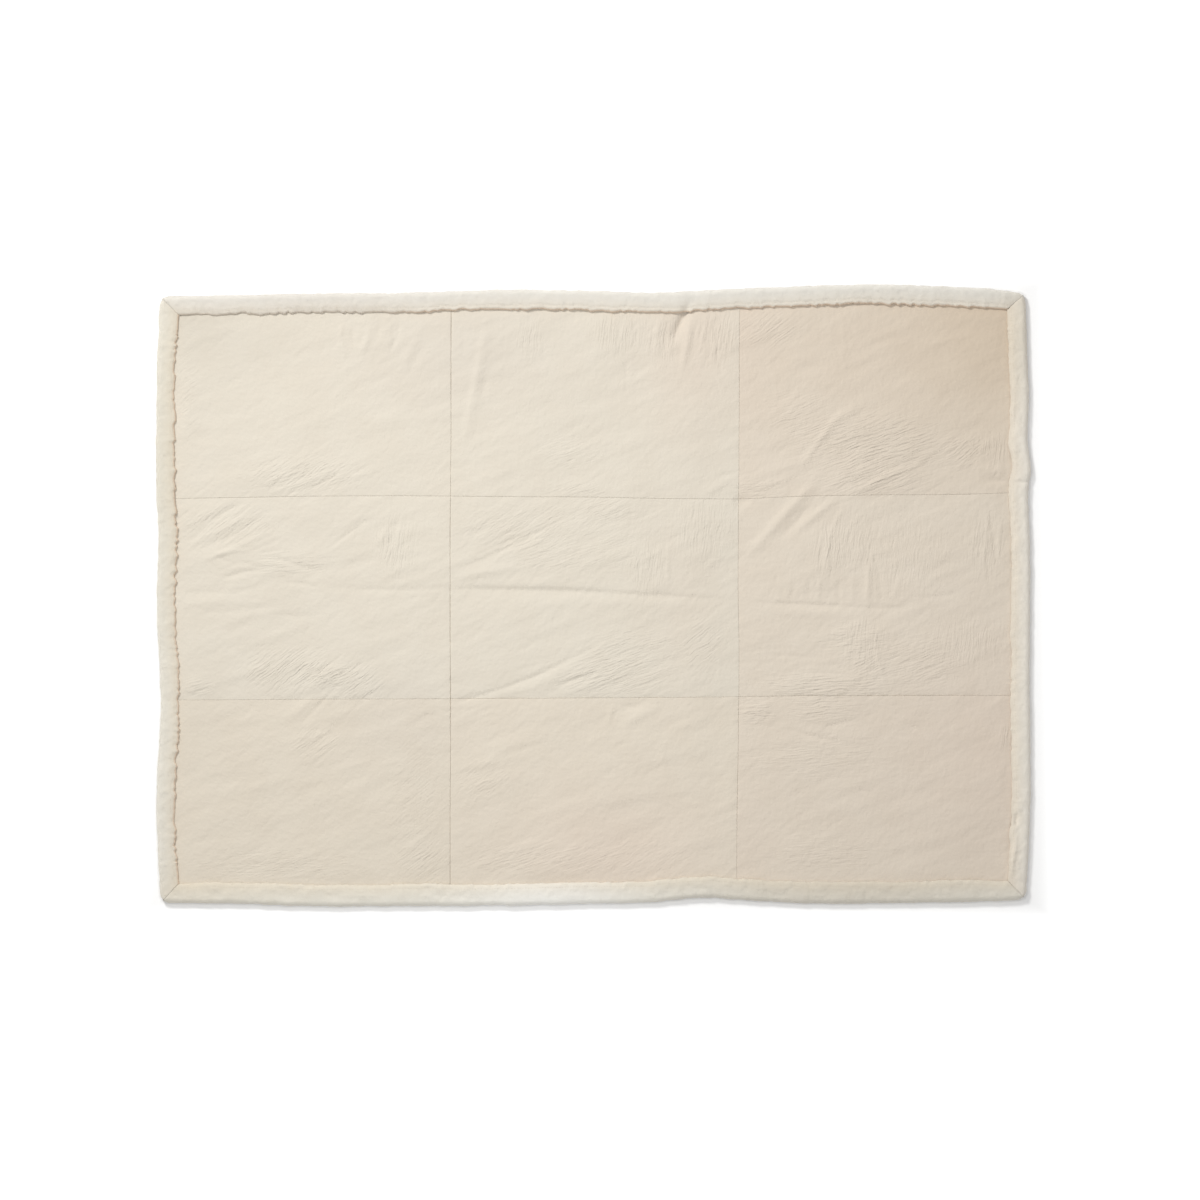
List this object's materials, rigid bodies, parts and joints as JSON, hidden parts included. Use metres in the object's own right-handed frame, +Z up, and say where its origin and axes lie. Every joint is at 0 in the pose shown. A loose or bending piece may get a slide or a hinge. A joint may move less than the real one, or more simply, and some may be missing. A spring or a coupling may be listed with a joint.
{
  "type": "sheepskin throw blanket",
  "caption": "Double-face sheepskin throw laid flat, smooth skin side up and wool side down, sewn from rectangular panels with a mitred wool border.",
  "frame": {"origin": "middle of the throw at floor level, under the centre panel", "axes": "+X along the length, +Y along the width, +Z up from the wool side to the skin side"},
  "size_m": [2.009, 1.4286, 0.022],
  "materials": {
    "skin": "matt, finely wrinkled sheepskin",
    "wool": "short soft sheared wool"
  },
  "bodies": {
    "root": {"panel_top_left": "skin", "panel_top_middle": "skin", "panel_top_right": "skin", "panel_middle_left": "skin", "panel_centre": "skin", "panel_middle_right": "skin", "panel_bottom_left": "skin", "panel_bottom_middle": "skin", "panel_bottom_right": "skin", "border_bottom": "wool", "border_right": "wool", "border_top": "wool", "border_left": "wool"}
  },
  "joints": []
}
